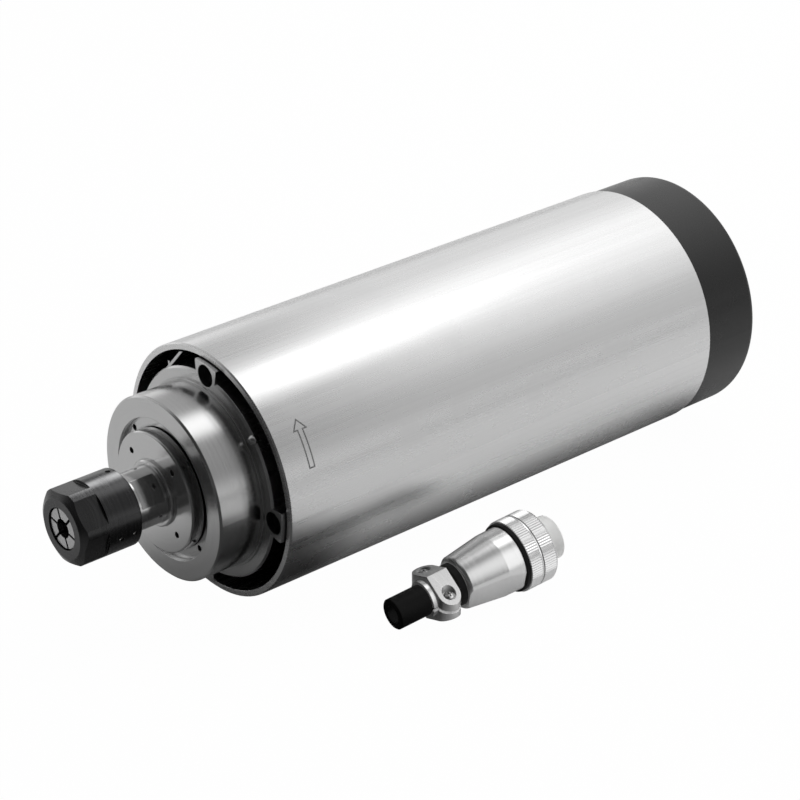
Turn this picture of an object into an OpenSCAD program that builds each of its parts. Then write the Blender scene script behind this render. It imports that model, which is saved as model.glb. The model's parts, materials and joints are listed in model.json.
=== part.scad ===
// Air-cooled motor spindle: round steel casing, collet nose at -Y, fan cap at +Y,
// and the loose connector plug that lies beside it.
// The spindle axis is the Y axis and the origin is at the casing's front edge.

/* [Casing] */
// Outside diameter of the steel casing
casing_d = 80; // [76:0.5:90]
// Wall of the casing tube
casing_wall = 2; // [1.5:0.1:2.6]
// Length of the casing tube
casing_len = 173.5; // [170:0.5:240]
// Length of the black fan cap behind the casing
cap_len = 21.5; // [19:0.5:30]
// How much smaller the cap is than the casing, across
cap_step = 1; // [0.9:0.1:1.6]
// Wall of the fan cap
cap_wall = 3; // [2:0.1:3.4]
// Thickness of the cap's rear grille
grille_t = 3.5; // [3:0.1:4.5]

/* [Front bearing housing] */
// Diameter of the round boss that carries the front bearings
boss_d = 58; // [55:0.5:60]
// How far the boss stands out in front of the casing
boss_proud = 17; // [16:0.5:22]
// Width of the air channel between the flange and the casing
channel_w = 4.7; // [4.2:0.1:5.5]
// How far the flange stands out in front of the casing
flange_proud = 1.5; // [0.5:0.1:2.5]
// Thickness of the flange
flange_t = 5.5; // [4:0.5:8]
// Diameter of the recess in the boss
recess_d = 44.8; // [44:0.2:46]
// Depth from the boss face to the lock ring
recess_depth = 1.8; // [1:0.1:3]
// Thickness of the threaded lock ring
lock_ring_t = 5.2; // [4:0.2:7]
// Angle of the first screw ear, from +X towards +Z
ear_angle = 86; // [80:1:90]
// Diameter of the screw passage in each ear
ear_hole_d = 7; // [6.6:0.1:7.4]
// Distance of the ear holes from the casing's inside
ear_inset = 4.5; // [4.2:0.1:5]
// Length of each ear
ear_len = 15.5; // [13:0.5:20]

/* [Bearings] */
// Bore of the front bearings
front_bore_d = 20; // [19:0.5:21]
// Outside diameter of the front bearings
front_od = 42; // [41:0.5:43]
// Width of one front bearing
front_width = 12; // [11:0.5:14]
// Gap between the front bearings, filled by the spacers
spacer_len = 6; // [4:0.5:12]
// Balls in each front bearing
front_ball_count = 11; // [9:1:12]
// Bore of the rear bearings
rear_bore_d = 15; // [14:0.5:15.5]
// Outside diameter of the rear bearings
rear_od = 32; // [31:0.5:34]
// Width of one rear bearing
rear_width = 9; // [8:0.5:11]
// Balls in each rear bearing
rear_ball_count = 10; // [8:1:11]

/* [Motor] */
// Wall of the motor housing
motor_wall = 3.3; // [2.8:0.1:4]
// Length of the stator and rotor cores
core_len = 70; // [50:1:72]
// Depth of the stator from its outside to its bore
stator_depth = 11.7; // [10:0.1:13]
// Air gap between rotor and stator
air_gap = 0.3; // [0.2:0.05:0.5]
// Slots in the stator
slot_count = 18; // [12:6:24]
// Length of each end winding
winding_len = 9; // [7:0.5:12]
// Thickness of the cooling ribs
rib_t = 1.6; // [1:0.1:2.5]
// Diameter of the shaft inside the rotor
rotor_bore_d = 24; // [22:0.5:26]

/* [Spindle nose] */
// Diameter of the shaft neck behind the nut
neck_d = 18; // [17.4:0.1:18.4]
// Thread diameter of the shaft nose
nose_thread_d = 19; // [18.8:0.1:19.4]
// Distance from the casing's front edge to the shaft's nose face
nose_reach = 45; // [43:0.5:50]
// Mouth diameter of the collet taper
taper_mouth_d = 17; // [16.8:0.1:17.1]
// Half angle of the collet taper
taper_angle = 8; // [7:0.5:8]
// Distance of the wrench flats from the axis
flat_r = 7.8; // [7.6:0.1:8.2]
// Length of the wrench flats
flat_len = 8; // [6:0.5:9]
// Diameter of the dust disc in front of the lock ring
disc_d = 38; // [36:0.2:38.6]
// How far the dust disc stands out in front of the boss
disc_proud = 2.8; // [2:0.1:4]

/* [Collet and nut] */
// Diameter of the collet nut
nut_d = 24; // [23.6:0.2:26]
// Length of the collet nut
nut_len = 20.1; // [19:0.1:22]
// Hexagon size across the nut's flats
nut_flats = 22; // [21.6:0.1:22.6]
// Length of the hexagon flats
nut_flat_len = 8.8; // [7:0.1:10]
// Diameter of the opening in the nut's face
nut_mouth_d = 13.2; // [12.9:0.1:13.4]
// Angle of one hexagon flat, from +X towards +Z
nut_angle = 40.6; // [0:0.2:59]
// Bore of the collet, the tool's shank diameter
tool_d = 6; // [3:0.5:7]
// Length of the collet
collet_len = 27.5; // [26:0.5:28]
// Width of the collet's slots
collet_slot = 0.8; // [0.5:0.1:1]

/* [Cooling fan] */
// Gap between the fan's blades and the cap's screw posts
fan_gap = 1.5; // [1:0.1:4]
// Number of fan blades
blade_count = 8; // [6:1:10]
// Pitch angle of the blades
blade_pitch = 38; // [30:1:42]
// Gap between the fan and the connector's pins
fan_back_gap = 3.4; // [3.3:0.1:6]

/* [Connector] */
// Diameter of the connector shell's thread on the cap
socket_d = 20; // [19.6:0.2:20.2]
// How far the socket stands out behind the cap
socket_len = 13; // [11:0.5:16]
// Side of the socket's square flange
socket_flange = 26; // [24:0.5:27]
// Length of the plug from its boot to its insert
plug_len = 59.8; // [58:0.2:64]
// Diameter of the plug's knurled rings
plug_ring_d = 23.2; // [22.8:0.1:24]
// Diameter of the white insert
insert_d = 14; // [13.6:0.1:14.2]
// Diameter of the rubber boot
boot_d = 9.8; // [9.2:0.1:10.4]
// Diameter of the cable hole in the boot
cable_d = 5.8; // [5:0.1:6.4]
// Width of the cable clamp
clamp_w = 7.2; // [6.4:0.1:7.6]
// Height of the clamp's ridge over the plug's axis
clamp_ridge = 8.2; // [7.8:0.1:8.4]
// Distance of the clamp screws from the plug's axis
clamp_screw_pitch = 6.2; // [6:0.1:6.6]

/* [Plug placing] */
// Place of the boot's end, along X
plug_x = 56.6; // [52:0.1:80]
// Place of the boot's end, along Y
plug_y = 24.1; // [0:0.1:80]
// Turn of the plug about the vertical
plug_yaw = 4.6; // [0:0.1:20]
// Tilt of the plug as it lies on its rings and its clamp
plug_tilt = 6; // [5:0.1:6]
// Roll of the cable clamp, from sideways to up
clamp_roll = 82; // [60:1:90]

/* [Hidden] */

fine = 96;
medium = 48;
small = 24;

// Clearances shared by neighbouring pieces
run_gap = 0.06;
wall_gap = 0.1;
face_gap = 0.5;
column_gap = 0.2;

// Radii of the casing and the pieces inside it
casing_r = casing_d / 2;
casing_inner_r = casing_r - casing_wall;
cap_r = casing_r - cap_step / 2;
cap_inner_r = cap_r - cap_wall;
boss_r = boss_d / 2;
flange_r = casing_inner_r - channel_w;
recess_r = recess_d / 2;
disc_r = disc_d / 2;
motor_outer_r = flange_r;
motor_bore_r = motor_outer_r - motor_wall;
barrel_r = motor_bore_r - 3;
rib_tip_r = casing_inner_r - wall_gap;
ear_pitch_r = casing_inner_r - ear_inset;
ear_hole_r = ear_hole_d / 2;
ear_wall = 1.1;
ear_r = ear_hole_r + ear_wall;
ear_strip_t = 1.5;
ear_strip_w = 10;
ear_tip_r = casing_inner_r - face_gap;
cap_post_r = ear_tip_r - ear_pitch_r;
fan_r = ear_pitch_r - cap_post_r - fan_gap;
ear_head_depth = 12;
ear_angles = [for (k = [0:3]) ear_angle + 90 * k];
rib_spread = 30;
screw_r = 2;
screw_head_r = 3.3;
screw_head_t = 4;
screw_reach = 20;
screw_bite = 12;

// Stations along the axis, from the nose to the tail
boss_face = -boss_proud;
flange_face = -flange_proud;
flange_back = flange_face + flange_t;
ear_back = flange_face + ear_len;
lock_ring_face = boss_face + recess_depth;
front_start = lock_ring_face + lock_ring_t;
front_split = front_start + front_width;
front_second = front_split + spacer_len;
front_end = front_second + front_width;
shoulder_t = 4;
barrel_back = front_end + shoulder_t;
disc_face = boss_face - disc_proud;
nose_face = -nose_reach;
bell_setback = 33.5;
bell_front = casing_len - bell_setback;
bell_flange_t = 6;
bell_hub_front = bell_front - 4;
bell_lip_t = 2;
spring_len = 1.5;
rear_start = bell_hub_front + bell_lip_t + spring_len;
rear_split = rear_start + rear_width + 0.1;
rear_end = rear_split + rear_width;
rear_nut_len = 5.5;
rear_nut_end = rear_end + rear_nut_len;
fan_start = rear_nut_end;
cap_end = casing_len + cap_len;
socket_depth = 5.5;
pin_tail_len = 5;
pin_tail = cap_end - socket_depth - pin_tail_len;
fan_end = pin_tail - fan_back_gap;
fan_len = fan_end - fan_start;
fan_screw_reach = 0.55 * fan_len;
shaft_end = fan_end - 2;
grille_inner = cap_end - grille_t;
spigot_len = 6.5;
post_len = 20;
post_split = bell_front + post_len;
cap_screw_face = cap_end - 0.6;
core_start = (barrel_back + bell_hub_front - core_len) / 2;
core_end = core_start + core_len;
end_ring_len = 7;

// Bearings
front_bore_r = front_bore_d / 2;
front_od_r = front_od / 2;
front_ball_r = (front_od_r - front_bore_r) * 0.27;
rear_bore_r = rear_bore_d / 2;
rear_od_r = rear_od / 2;
rear_ball_r = (rear_od_r - rear_bore_r) * 0.27;
race_share = 0.32;
groove_gap = 0.12;
cage_pocket_gap = 0.15;
cage_t = 1.2;

// Shaft and rotor
neck_r = neck_d / 2;
nose_r = nose_thread_d / 2;
taper_mouth_r = taper_mouth_d / 2;
stator_bore_r = motor_bore_r - stator_depth;
rotor_r = stator_bore_r - air_gap;
rotor_bore_r = rotor_bore_d / 2;
tail_r = 9;
fan_seat_r = 6;
nose_thread_len = 12;
thread_bore_r = nose_r + run_gap;
disc_collar_r = 10.4;
disc_collar_len = 1.2;
flat_gap = 1;
neck_flat_angle = 42;
disc_angle = 48;
spanner_hole_r = 1;

// Nut and collet
nut_r = nut_d / 2;
nut_back = nose_face + nose_thread_len + 0.8;
nut_face = nut_back - nut_len;
nut_mouth_r = nut_mouth_d / 2;
nut_lip = 1.1;
nut_chamfer = 1.4;
nut_chamfer_w = 2.6;
cone_angle = 30;
ring_r = 9;
ring_front = nose_face - 2.4;
ring_back = nose_face - 0.8;
ring_inner_r = 7.85;
ring_offset = 0.55;
collet_angle = 50;
collet_face = nut_face + 0.45;
collet_groove_r = 7;
collet_groove_front = ring_front - 0.3;
collet_groove_back = nose_face - 0.3;
collet_back = collet_face + collet_len;
drill_r = 0.8;
balance_holes = [[2.4, 97], [7.4, -15], [2.6, -14]];

// Connector on the cap
socket_r = socket_d / 2;
socket_bore_r = insert_d / 2 + 0.4;
socket_flange_t = 2.5;
socket_end = cap_end + socket_len;
socket_floor = cap_end + 0.5;
pin_r = 1;
pin_pitch_r = 3.9;
pin_end = socket_end - 6;
pin_angles = [for (k = [0:3]) 45 + 90 * k];
socket_screw_x = socket_flange / 2 - 3;
m3_r = 1.5;

// Plug stations, from the boot's end along its axis
boot_r = boot_d / 2;
cable_r = cable_d / 2;
insert_r = insert_d / 2;
ring_out_r = plug_ring_d / 2;
clamp_front = 12.5;
clamp_back = clamp_front + clamp_w;
collar_lead = 1.4;
boot_collar_start = clamp_back + 0.4;
shell_start = 22.9;
shell_end = 42.3;
boot_collar_end = shell_start + 7;
lock_ring_start = 43.7;
lock_ring_end = 48.1;
coupling_start = 48.5;
coupling_end = plug_len - 6.3;
shell_small_r = 8.5;
shell_big_r = 10.1;
seal_r = 11;
boot_collar_r = 6.8;
body_r = 8.8;
body_start = shell_end - 5;
coupling_lip_t = 1.1;
coupling_lip_r = body_r + wall_gap;
coupling_bore_r = socket_r + 0.15;
body_flange_r = coupling_bore_r - 0.25;
body_flange_t = 0.8;
body_end = coupling_start + coupling_lip_t + wall_gap + body_flange_t;
clamp_gap = 0.55;
clamp_slope = 29;
clamp_shank_r = 1;
collar_wall = 0.9;
clamp_tip = clamp_screw_pitch + clamp_w / 2;
clamp_head_r = 1.9;
clamp_recess_r = 2.15;
floor_z = -casing_r;
plug_z = floor_z + ring_out_r * cos(plug_tilt) - lock_ring_start * sin(plug_tilt);

// Route of the motor leads as [distance from the axis, place along the axis]: out of the
// windings, through the rear housing, round the fan and in to the connector's pins
lead_angle = 225;
lead_r = 1.2;
lead_coil_r = motor_bore_r - 6;
lead_hole_r = motor_outer_r - 5.3;
lead_wide_r = cap_inner_r - 2.6;
lead_end_r = pin_pitch_r + 1.3;
lead_bend_r = 6;
lead_start = core_end + winding_len + 0.3;
lead_hole_start = bell_front - 3;
lead_hole_end = bell_front + bell_flange_t + 1.5;
lead_wide_start = fan_start + 6;
lead_cross = pin_tail + 0.7;
lead_bend_start = lead_cross - lead_bend_r;
lead_route = concat(
  swing(lead_coil_r, lead_hole_r, lead_start, lead_hole_start),
  swing(lead_hole_r, lead_wide_r, lead_hole_end, lead_wide_start),
  [for (a = [0:18:90]) [lead_wide_r - lead_bend_r * (1 - cos(a)), lead_bend_start + lead_bend_r * sin(a)]],
  [for (r = [0.7, 0.4, 0]) [lead_end_r + r * (lead_wide_r - lead_bend_r - lead_end_r), lead_cross]]
);

// Points of an even S-curve from one distance and station to another
function swing(r0, r1, y0, y1) =
  [for (k = [0:0.2:1]) [r0 + (r1 - r0) * (1 - cos(180 * k)) / 2, y0 + (y1 - y0) * k]];

// Radius of the taper bore in the shaft at a place along the axis
function taper_bore_r(y) = taper_mouth_r - (y - nose_face) * tan(taper_angle);

// A solid turned about the Y axis from an outline of [radius, y] points
module turned(outline, facets = fine) {
  rotate([-90, 0, 0]) rotate_extrude($fn = facets) polygon(outline);
}

// A round bar along Y from one station to another
module bar(r, y0, y1, facets = fine) {
  translate([0, y0, 0]) rotate([-90, 0, 0]) cylinder(r = r, h = y1 - y0, $fn = facets);
}

// A plain ring along Y
module ring(r_out, r_in, y0, y1, facets = fine) {
  difference() {
    bar(r_out, y0, y1, facets);
    bar(r_in, y0 - 1, y1 + 1, facets);
  }
}

// A flat outline, drawn in X and Z, extruded along Y between two stations
module along_axis(y0, y1) {
  translate([0, y1, 0]) rotate([90, 0, 0]) linear_extrude(y1 - y0) children();
}

// Turns its children about the Y axis, from +X towards +Z
module turn(angle) {
  rotate([0, -angle, 0]) children();
}

// Puts its children out from the axis at each of the four ears
module at_ears() {
  for (angle = ear_angles) turn(angle) translate([ear_pitch_r, 0, 0]) children();
}

// Casing and front housing

module outer_casing() {
  edge = 0.4;
  color("gainsboro") turned([
    [casing_inner_r, 0], [casing_r - edge, 0], [casing_r, edge],
    [casing_r, casing_len - edge], [casing_r - edge, casing_len], [casing_inner_r, casing_len]
  ], 144);
}

// Outline of one ear: a round wall about the hole and a flat strip at the tip
module ear_outline() {
  intersection() {
    union() {
      translate([flange_r - 4, -ear_r]) square([ear_tip_r - flange_r + 4, 2 * ear_r]);
      polygon([
        [flange_r, -ear_r], [ear_tip_r - ear_strip_t, -ear_strip_w / 2], [casing_inner_r, -ear_strip_w / 2],
        [casing_inner_r, ear_strip_w / 2], [ear_tip_r - ear_strip_t, ear_strip_w / 2], [flange_r, ear_r]
      ]);
    }
    difference() {
      circle(r = ear_tip_r, $fn = fine);
      circle(r = motor_bore_r, $fn = fine);
    }
  }
}

// Slanted web that joins the flange to the casing beside the first ear
module flange_web() {
  web_t = 0.9;
  foot = [flange_r * cos(ear_angle + 36), flange_r * sin(ear_angle + 36)];
  tip = [ear_tip_r * cos(ear_angle + 21), ear_tip_r * sin(ear_angle + 21)];
  run = tip - foot;
  slant = atan2(run[1], run[0]);
  along_axis(flange_face + 1, flange_back) intersection() {
    union() {
      translate(foot) rotate(slant) translate([-2, -web_t / 2]) square([norm(run) + 3, web_t]);
      translate(foot) rotate(slant + 50) translate([-2, -web_t]) square([4, web_t]);
    }
    circle(r = ear_tip_r, $fn = fine);
  }
}

module front_bearing_housing() {
  bevel = 0.6;
  lip = 0.7;
  seat_r = front_od_r;
  shoulder_r = front_od_r - 4;
  bump_angle = ear_angle - 45;
  bump_r = 1.7;
  color("silver") difference() {
    union() {
      turned([
        [seat_r, boss_face], [boss_r - bevel, boss_face], [boss_r, boss_face + bevel],
        [boss_r, flange_face - lip], [boss_r + lip, flange_face - lip], [boss_r + lip, flange_face],
        [flange_r - bevel, flange_face], [flange_r, flange_face + bevel], [flange_r, flange_back],
        [barrel_r, flange_back], [barrel_r, barrel_back], [shoulder_r, barrel_back],
        [shoulder_r, front_end], [seat_r, front_end]
      ]);
      for (angle = ear_angles) turn(angle) along_axis(flange_face, ear_back) ear_outline();
      flange_web();
      turn(bump_angle) translate([flange_r - 1.2, flange_face + 0.6, 0]) sphere(r = bump_r, $fn = small);
    }
    bar(recess_r, boss_face - 1, front_start);
    at_ears() bar(ear_hole_r, boss_face - 1, flange_face + ear_head_depth, small);
    at_ears() bar(screw_r + 0.2, flange_face, ear_back + 1, small);
  }
}

module bearing_lock_ring() {
  hole_r = (recess_r + disc_r) / 2;
  inner_r = front_od_r - 5;
  color("darkgray") difference() {
    ring(recess_r, inner_r, lock_ring_face, front_start);
    for (k = [0:3]) turn(disc_angle + 90 * k)
      translate([hole_r, 0, 0]) bar(spanner_hole_r, lock_ring_face - 1, lock_ring_face + 2.5, small);
  }
}

// A socket-head screw along Y with its head's face at the given station
module socket_screw(head_face, length, shank_r = screw_r, head_r = screw_head_r, head_t = screw_head_t) {
  difference() {
    union() {
      bar(head_r, head_face, head_face + head_t, small);
      bar(shank_r, head_face + head_t, head_face + head_t + length, small);
    }
    along_axis(head_face - 1, head_face + head_t / 2) circle(r = head_r / 2, $fn = 6);
  }
}

// The same screw driven in from the rear, its head's face at the given station
module rear_screw(head_face, length, shank_r = screw_r, head_r = screw_head_r, head_t = screw_head_t) {
  translate([0, 2 * head_face, 0]) mirror([0, 1, 0]) socket_screw(head_face, length, shank_r, head_r, head_t);
}

module housing_screws() {
  head_face = flange_face + ear_head_depth - screw_head_t;
  color("dimgray") at_ears() socket_screw(head_face, screw_reach);
}

// Motor

// Outline of the motor housing: a tube with ribs and screw columns
module motor_outline() {
  difference() {
    union() {
      circle(r = motor_outer_r, $fn = fine);
      for (angle = ear_angles) {
        rotate(angle) ear_outline();
        for (side = [-1, 1]) rotate(angle + side * rib_spread)
          translate([motor_bore_r + 1, -rib_t / 2]) square([rib_tip_r - motor_bore_r - 1 - column_gap, rib_t]);
      }
    }
    circle(r = motor_bore_r, $fn = fine);
  }
}

// Outline of the housing's front end, notched where the ears reach into it
module motor_front_outline() {
  notch_w = ear_strip_w + 2 * column_gap;
  difference() {
    circle(r = motor_outer_r, $fn = fine);
    circle(r = motor_bore_r, $fn = fine);
    for (angle = ear_angles) rotate(angle) translate([motor_bore_r - 1, -notch_w / 2])
      square([motor_outer_r - motor_bore_r + 2, notch_w]);
  }
}

module motor_housing() {
  color("dimgray") difference() {
    union() {
      along_axis(flange_back, ear_back) motor_front_outline();
      along_axis(ear_back, bell_front) motor_outline();
    }
    at_ears() bar(screw_r, ear_back - 1, ear_back + screw_reach, small);
    at_ears() bar(screw_r, bell_front - screw_reach, bell_front + 1, small);
  }
}

module stator_slot(bottom_r) {
  slot_w = 3.4;
  mouth_w = 1.6;
  translate([stator_bore_r - 1, -mouth_w / 2]) square([3, mouth_w]);
  translate([stator_bore_r + 1.4, -slot_w / 2]) square([bottom_r - stator_bore_r - 1.4, slot_w]);
}

module stator_core() {
  slot_bottom = motor_bore_r - 4;
  color("slategray") along_axis(core_start, core_end) difference() {
    circle(r = motor_bore_r, $fn = fine);
    circle(r = stator_bore_r, $fn = fine);
    for (k = [1:slot_count]) rotate(360 / slot_count * k) stator_slot(slot_bottom);
  }
}

module end_winding(y0) {
  r_in = stator_bore_r + 1.6;
  r_out = motor_bore_r - 2.5;
  round_off = 2;
  turned([
    [r_in, y0], [r_out, y0], [r_out, y0 + winding_len - round_off],
    [r_out - round_off, y0 + winding_len], [r_in + round_off, y0 + winding_len],
    [r_in, y0 + winding_len - round_off]
  ]);
}

module stator_windings() {
  coil_w = 3;
  coil_in = stator_bore_r + 1.8;
  coil_out = motor_bore_r - 4.3;
  color("peru") {
    translate([0, 2 * core_start, 0]) mirror([0, 1, 0]) end_winding(core_start);
    end_winding(core_end);
    for (k = [1:slot_count]) turn(360 / slot_count * k)
      translate([coil_in, core_start - 0.5, -coil_w / 2])
        cube([coil_out - coil_in, core_len + 1, coil_w]);
  }
}

// Bearings

// Mean radius of a bearing's ball circle
function ball_circle(bore_r, od_r) = (bore_r + od_r) / 2;

module inner_race(bore_r, od_r, ball_r, y0, width) {
  difference() {
    ring(bore_r + (od_r - bore_r) * race_share, bore_r, y0, y0 + width);
    translate([0, y0 + width / 2, 0]) rotate([-90, 0, 0]) rotate_extrude($fn = fine)
      translate([ball_circle(bore_r, od_r), 0]) circle(r = ball_r + groove_gap, $fn = small);
  }
}

module outer_race(bore_r, od_r, ball_r, y0, width) {
  difference() {
    ring(od_r, od_r - (od_r - bore_r) * race_share, y0, y0 + width);
    translate([0, y0 + width / 2, 0]) rotate([-90, 0, 0]) rotate_extrude($fn = fine)
      translate([ball_circle(bore_r, od_r), 0]) circle(r = ball_r + groove_gap, $fn = small);
  }
}

module ball_row(bore_r, od_r, r, y_mid, count) {
  for (k = [1:count]) turn(360 / count * k)
    translate([ball_circle(bore_r, od_r), y_mid, 0]) sphere(r = r, $fn = small);
}

module ball_cage(bore_r, od_r, ball_r, y_mid, count) {
  middle = ball_circle(bore_r, od_r);
  half_len = ball_r + 1;
  difference() {
    ring(middle + cage_t / 2, middle - cage_t / 2, y_mid - half_len, y_mid + half_len);
    for (k = [1:count]) turn(360 / count * k) translate([middle - ball_r, y_mid, 0])
      rotate([0, 90, 0]) cylinder(r = ball_r + cage_pocket_gap, h = 2 * ball_r, $fn = small);
  }
}

front_starts = [front_start, front_second];
rear_starts = [rear_start, rear_split];

module front_outer_races() {
  color("lightsteelblue") for (y = front_starts)
    outer_race(front_bore_r, front_od_r, front_ball_r, y, front_width);
}

module front_inner_races() {
  color("lightsteelblue") for (y = front_starts)
    inner_race(front_bore_r, front_od_r, front_ball_r, y, front_width);
}

module front_balls() {
  color("white") for (y = front_starts)
    ball_row(front_bore_r, front_od_r, front_ball_r, y + front_width / 2, front_ball_count);
}

module front_ball_cages() {
  color("burlywood") for (y = front_starts)
    ball_cage(front_bore_r, front_od_r, front_ball_r, y + front_width / 2, front_ball_count);
}

module rear_outer_races() {
  color("lightsteelblue") for (y = rear_starts)
    outer_race(rear_bore_r, rear_od_r, rear_ball_r, y, rear_width);
}

module rear_inner_races() {
  color("lightsteelblue") for (y = rear_starts)
    inner_race(rear_bore_r, rear_od_r, rear_ball_r, y, rear_width);
}

module rear_balls() {
  color("white") for (y = rear_starts)
    ball_row(rear_bore_r, rear_od_r, rear_ball_r, y + rear_width / 2, rear_ball_count);
}

module rear_ball_cages() {
  color("burlywood") for (y = rear_starts)
    ball_cage(rear_bore_r, rear_od_r, rear_ball_r, y + rear_width / 2, rear_ball_count);
}

module outer_race_spacer() {
  inner_r = front_od_r - (front_od_r - front_bore_r) * race_share;
  color("silver") ring(front_od_r, inner_r, front_split, front_second);
}

module inner_race_spacer() {
  outer_r = front_bore_r + (front_od_r - front_bore_r) * race_share;
  color("silver") ring(outer_r, front_bore_r, front_split, front_second);
}

// Rear housing

module rear_bearing_housing() {
  hub_wall = 4;
  hub_r = rear_od_r + hub_wall;
  lip_r = rear_od_r - hub_wall;
  color("silver") difference() {
    union() {
      turned([
        [lip_r, bell_hub_front], [hub_r, bell_hub_front], [hub_r, bell_front],
        [motor_outer_r, bell_front], [motor_outer_r, bell_front + bell_flange_t],
        [hub_r, bell_front + bell_flange_t], [hub_r, rear_end], [rear_od_r, rear_end],
        [rear_od_r, bell_hub_front + bell_lip_t], [lip_r, bell_hub_front + bell_lip_t]
      ]);
      for (angle = ear_angles) turn(angle) along_axis(bell_front, post_split) ear_outline();
    }
    at_ears() bar(screw_r + 0.2, bell_front - 1, post_split + 1, small);
    turn(lead_angle) translate([lead_hole_r, 0, 0])
      bar(lead_r + 1, bell_front - 1, bell_front + bell_flange_t + 1, small);
  }
}

// Wave spring: a thin ring whose height rises and falls three times
module preload_spring() {
  waves = 3;
  steps = 60;
  leaf = 0.35;
  r_in = rear_od_r - 2.6;
  r_out = rear_od_r - 0.3;
  wave = (spring_len - leaf) / 2 - 0.02;
  mid = bell_hub_front + bell_lip_t + spring_len / 2;
  ring_points = [for (k = [0:steps - 1], corner = [[r_in, -1], [r_out, -1], [r_out, 1], [r_in, 1]])
    let (a = 360 / steps * k)
      [corner[0] * cos(a), mid + wave * cos(waves * a) + corner[1] * leaf / 2, corner[0] * sin(a)]];
  ring_faces = [for (k = [0:steps - 1], j = [0:3])
    let (next = (k + 1) % steps, right = (j + 1) % 4)
      [4 * k + j, 4 * k + right, 4 * next + right, 4 * next + j]];
  color("gainsboro") polyhedron(points = ring_points, faces = ring_faces, convexity = 4);
}

// A round tube swept along a route that lies in one plane through the axis
module lead() {
  sides = 8;
  last = len(lead_route) - 1;
  sweep_points = [for (k = [0:last], j = [0:sides - 1])
    let (
      before = lead_route[max(k - 1, 0)],
      after = lead_route[min(k + 1, last)],
      heading = (after - before) / norm(after - before),
      a = 360 / sides * j,
      out = lead_r * cos(a)
    )
      [lead_route[k][0] + heading[1] * out, lead_route[k][1] - heading[0] * out, lead_r * sin(a)]];
  sweep_faces = concat(
    [[for (j = [0:sides - 1]) j]],
    [for (k = [0:last - 1], j = [0:sides - 1])
      let (right = (j + 1) % sides)
        [sides * k + j, sides * (k + 1) + j, sides * (k + 1) + right, sides * k + right]],
    [[for (j = [sides - 1:-1:0]) sides * last + j]]
  );
  turn(lead_angle) polyhedron(points = sweep_points, faces = sweep_faces, convexity = 4);
}

module motor_leads() {
  color("black") lead();
}

// Fan cap

// Radial air slots of the rear grille
module grille_slots() {
  slots = 20;
  slot_w = 3.2;
  slot_in = socket_flange * sqrt(0.5) + 1.4;
  slot_out = ear_pitch_r - screw_head_r - 2.6;
  for (k = [0:slots - 1]) rotate(360 / slots * (k + 0.5)) {
    translate([slot_in, -slot_w / 2]) square([slot_out - slot_in, slot_w]);
    translate([slot_in, 0]) circle(d = slot_w, $fn = small);
    translate([slot_out, 0]) circle(d = slot_w, $fn = small);
  }
}

module fan_cap() {
  rim = 2;
  spigot_r = casing_inner_r - wall_gap;
  spigot_start = casing_len - spigot_len;
  corner = [for (a = [0:15:90]) [cap_r - rim + rim * cos(a), cap_end - rim + rim * sin(a)]];
  color("darkslategray") difference() {
    union() {
      turned(concat(
        [[cap_inner_r, spigot_start], [spigot_r, spigot_start], [spigot_r, casing_len], [cap_r, casing_len]],
        corner,
        [[0, cap_end], [0, grille_inner], [cap_inner_r, grille_inner]]
      ), 144);
      at_ears() bar(cap_post_r, post_split, grille_inner + 1, small);
    }
    along_axis(grille_inner - 1, cap_end + 1) grille_slots();
    at_ears() bar(screw_r + 0.2, post_split - 1, cap_end + 1, small);
    at_ears() bar(screw_head_r + 0.2, cap_screw_face - screw_head_t, cap_end + 1, small);
    bar(socket_bore_r + 1.2, grille_inner - 1, cap_end + 1, medium);
    for (x = [-1, 1], z = [-1, 1]) translate([x * socket_screw_x, 0, z * socket_screw_x])
      bar(m3_r, grille_inner - 1, cap_end + 1, small);
  }
}

module cap_screws() {
  reach = cap_screw_face - screw_head_t - (bell_front - screw_bite);
  color("dimgray") at_ears() rear_screw(cap_screw_face, reach);
}

module cooling_fan() {
  hub_r = 9.5;
  blade_t = 1.6;
  mid = (fan_start + fan_end) / 2;
  color("dimgray") difference() {
    union() {
      bar(hub_r, fan_start, fan_end);
      intersection() {
        union() {
          for (k = [1:blade_count]) turn(360 / blade_count * k)
            translate([hub_r - 1, mid, 0]) rotate([blade_pitch, 0, 0])
              translate([0, -fan_len, -blade_t / 2]) cube([fan_r - hub_r + 1, 2 * fan_len, blade_t]);
        }
        bar(fan_r, fan_start, fan_end);
      }
    }
    bar(fan_seat_r, fan_start - 1, shaft_end);
    bar(screw_r, fan_start - 1, fan_end + 1, small);
  }
}

module fan_screw() {
  head_t = 3;
  color("dimgray") rear_screw(fan_end + head_t, fan_screw_reach, screw_r, screw_head_r, head_t);
}

module power_socket() {
  color("silver") difference() {
    union() {
      bar(socket_r, cap_end, socket_end);
      bar(socket_bore_r + 1, cap_end - socket_depth, cap_end + 1);
      along_axis(cap_end, cap_end + socket_flange_t) square(socket_flange, center = true);
    }
    bar(socket_bore_r, cap_end - socket_depth - 1, socket_end + 1);
    for (x = [-1, 1], z = [-1, 1]) translate([x * socket_screw_x, 0, z * socket_screw_x])
      bar(m3_r + 0.1, cap_end - 1, cap_end + socket_flange_t + 1, small);
  }
}

module socket_insert() {
  color("white") difference() {
    bar(socket_bore_r, cap_end - socket_depth, socket_floor);
    for (angle = pin_angles) turn(angle) translate([pin_pitch_r, 0, 0])
      bar(pin_r, cap_end - socket_depth - 1, socket_floor + 1, small);
  }
}

module socket_pins() {
  color("gold") for (angle = pin_angles) turn(angle) translate([pin_pitch_r, 0, 0]) {
    bar(pin_r, pin_tail, pin_end - pin_r, small);
    translate([0, pin_end - pin_r, 0]) sphere(r = pin_r, $fn = small);
  }
}

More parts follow.
